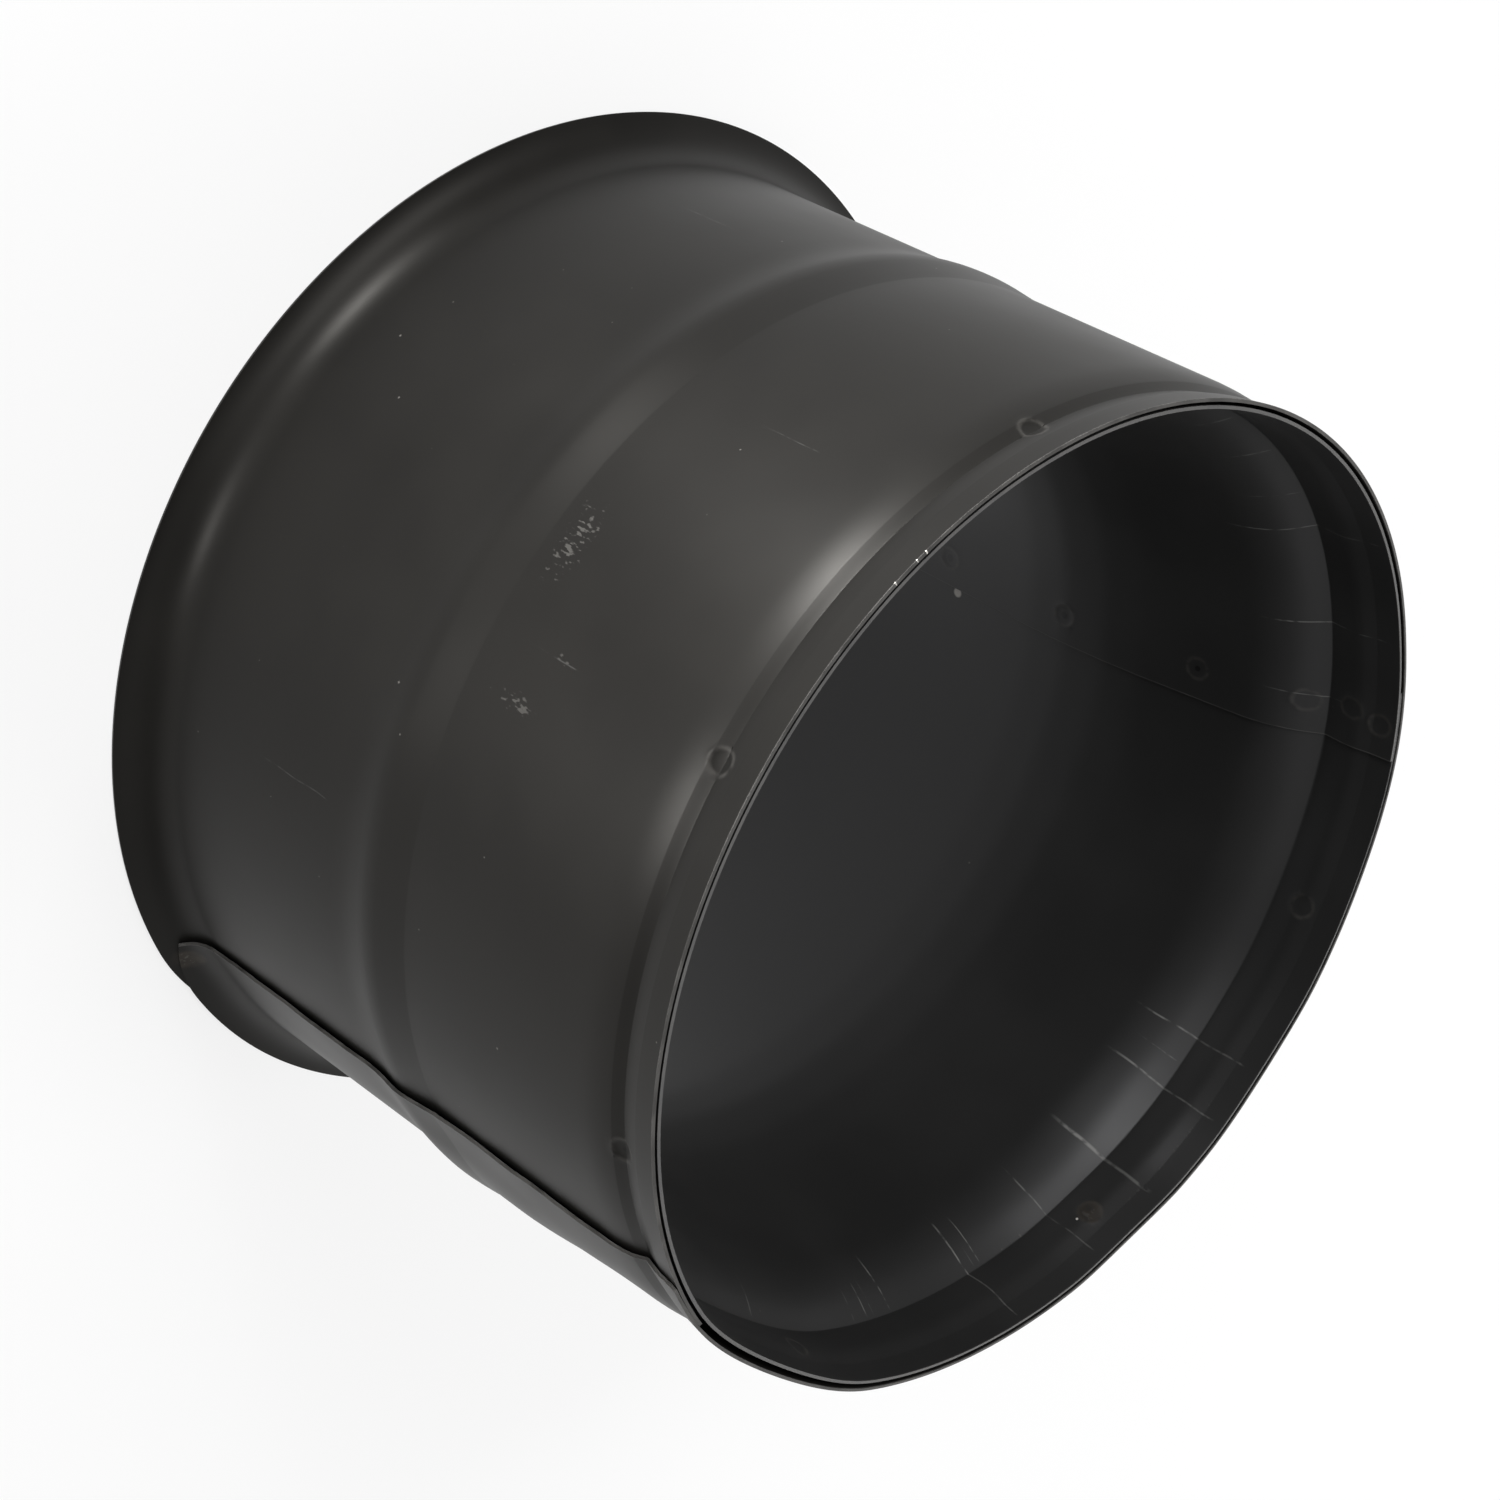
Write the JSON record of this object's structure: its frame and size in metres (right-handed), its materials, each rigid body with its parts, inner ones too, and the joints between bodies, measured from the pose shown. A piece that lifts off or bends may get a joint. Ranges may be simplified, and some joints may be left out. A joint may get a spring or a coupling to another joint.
{
  "type": "wall sleeve",
  "caption": "Double-wall sheet-metal sleeve that lines a wall opening for a stove pipe: a beaded, flanged outer shell with a funnel-mouthed inner sleeve spot-welded to it at the mouth.",
  "frame": {"origin": "on the pipe's axis, in the plane of the flange's edge that it stands on", "axes": "+Z along the pipe's axis, from the flange to the mouth; the picture is taken from the -Y side"},
  "size_m": [0.1999, 0.2, 0.135],
  "materials": {
    "black_paint": "satin"
  },
  "bodies": {
    "root": {"outer_shell": "black_paint", "inner_sleeve": "black_paint"}
  },
  "joints": []
}
